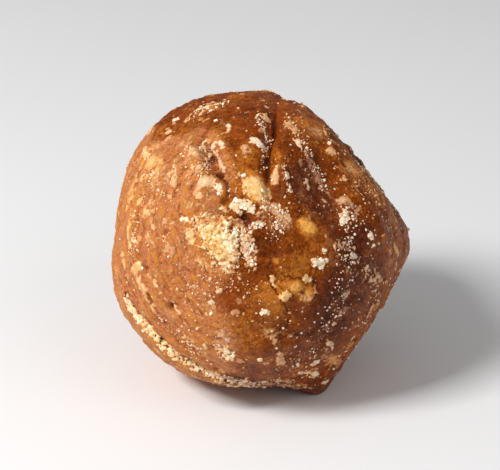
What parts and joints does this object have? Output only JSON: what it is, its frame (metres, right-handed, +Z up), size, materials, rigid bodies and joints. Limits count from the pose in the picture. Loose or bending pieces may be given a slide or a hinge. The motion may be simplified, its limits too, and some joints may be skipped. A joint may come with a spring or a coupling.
{
  "type": "jaggery lump",
  "caption": "Hand-pressed lump of jaggery, unrefined cane sugar: a ball out of round, with pressed flats, folds and a small flat base.",
  "frame": {"origin": "on the floor plane, under the middle of the lump's bounding box", "axes": "+Z up from the flat base, +X to the right of the showing side, -Y towards the viewer of the showing side"},
  "size_m": [0.07, 0.072, 0.0678],
  "materials": {
    "toffee_sugar": "satin"
  },
  "bodies": {
    "root": {"jaggery_lump": "toffee_sugar"}
  },
  "joints": []
}
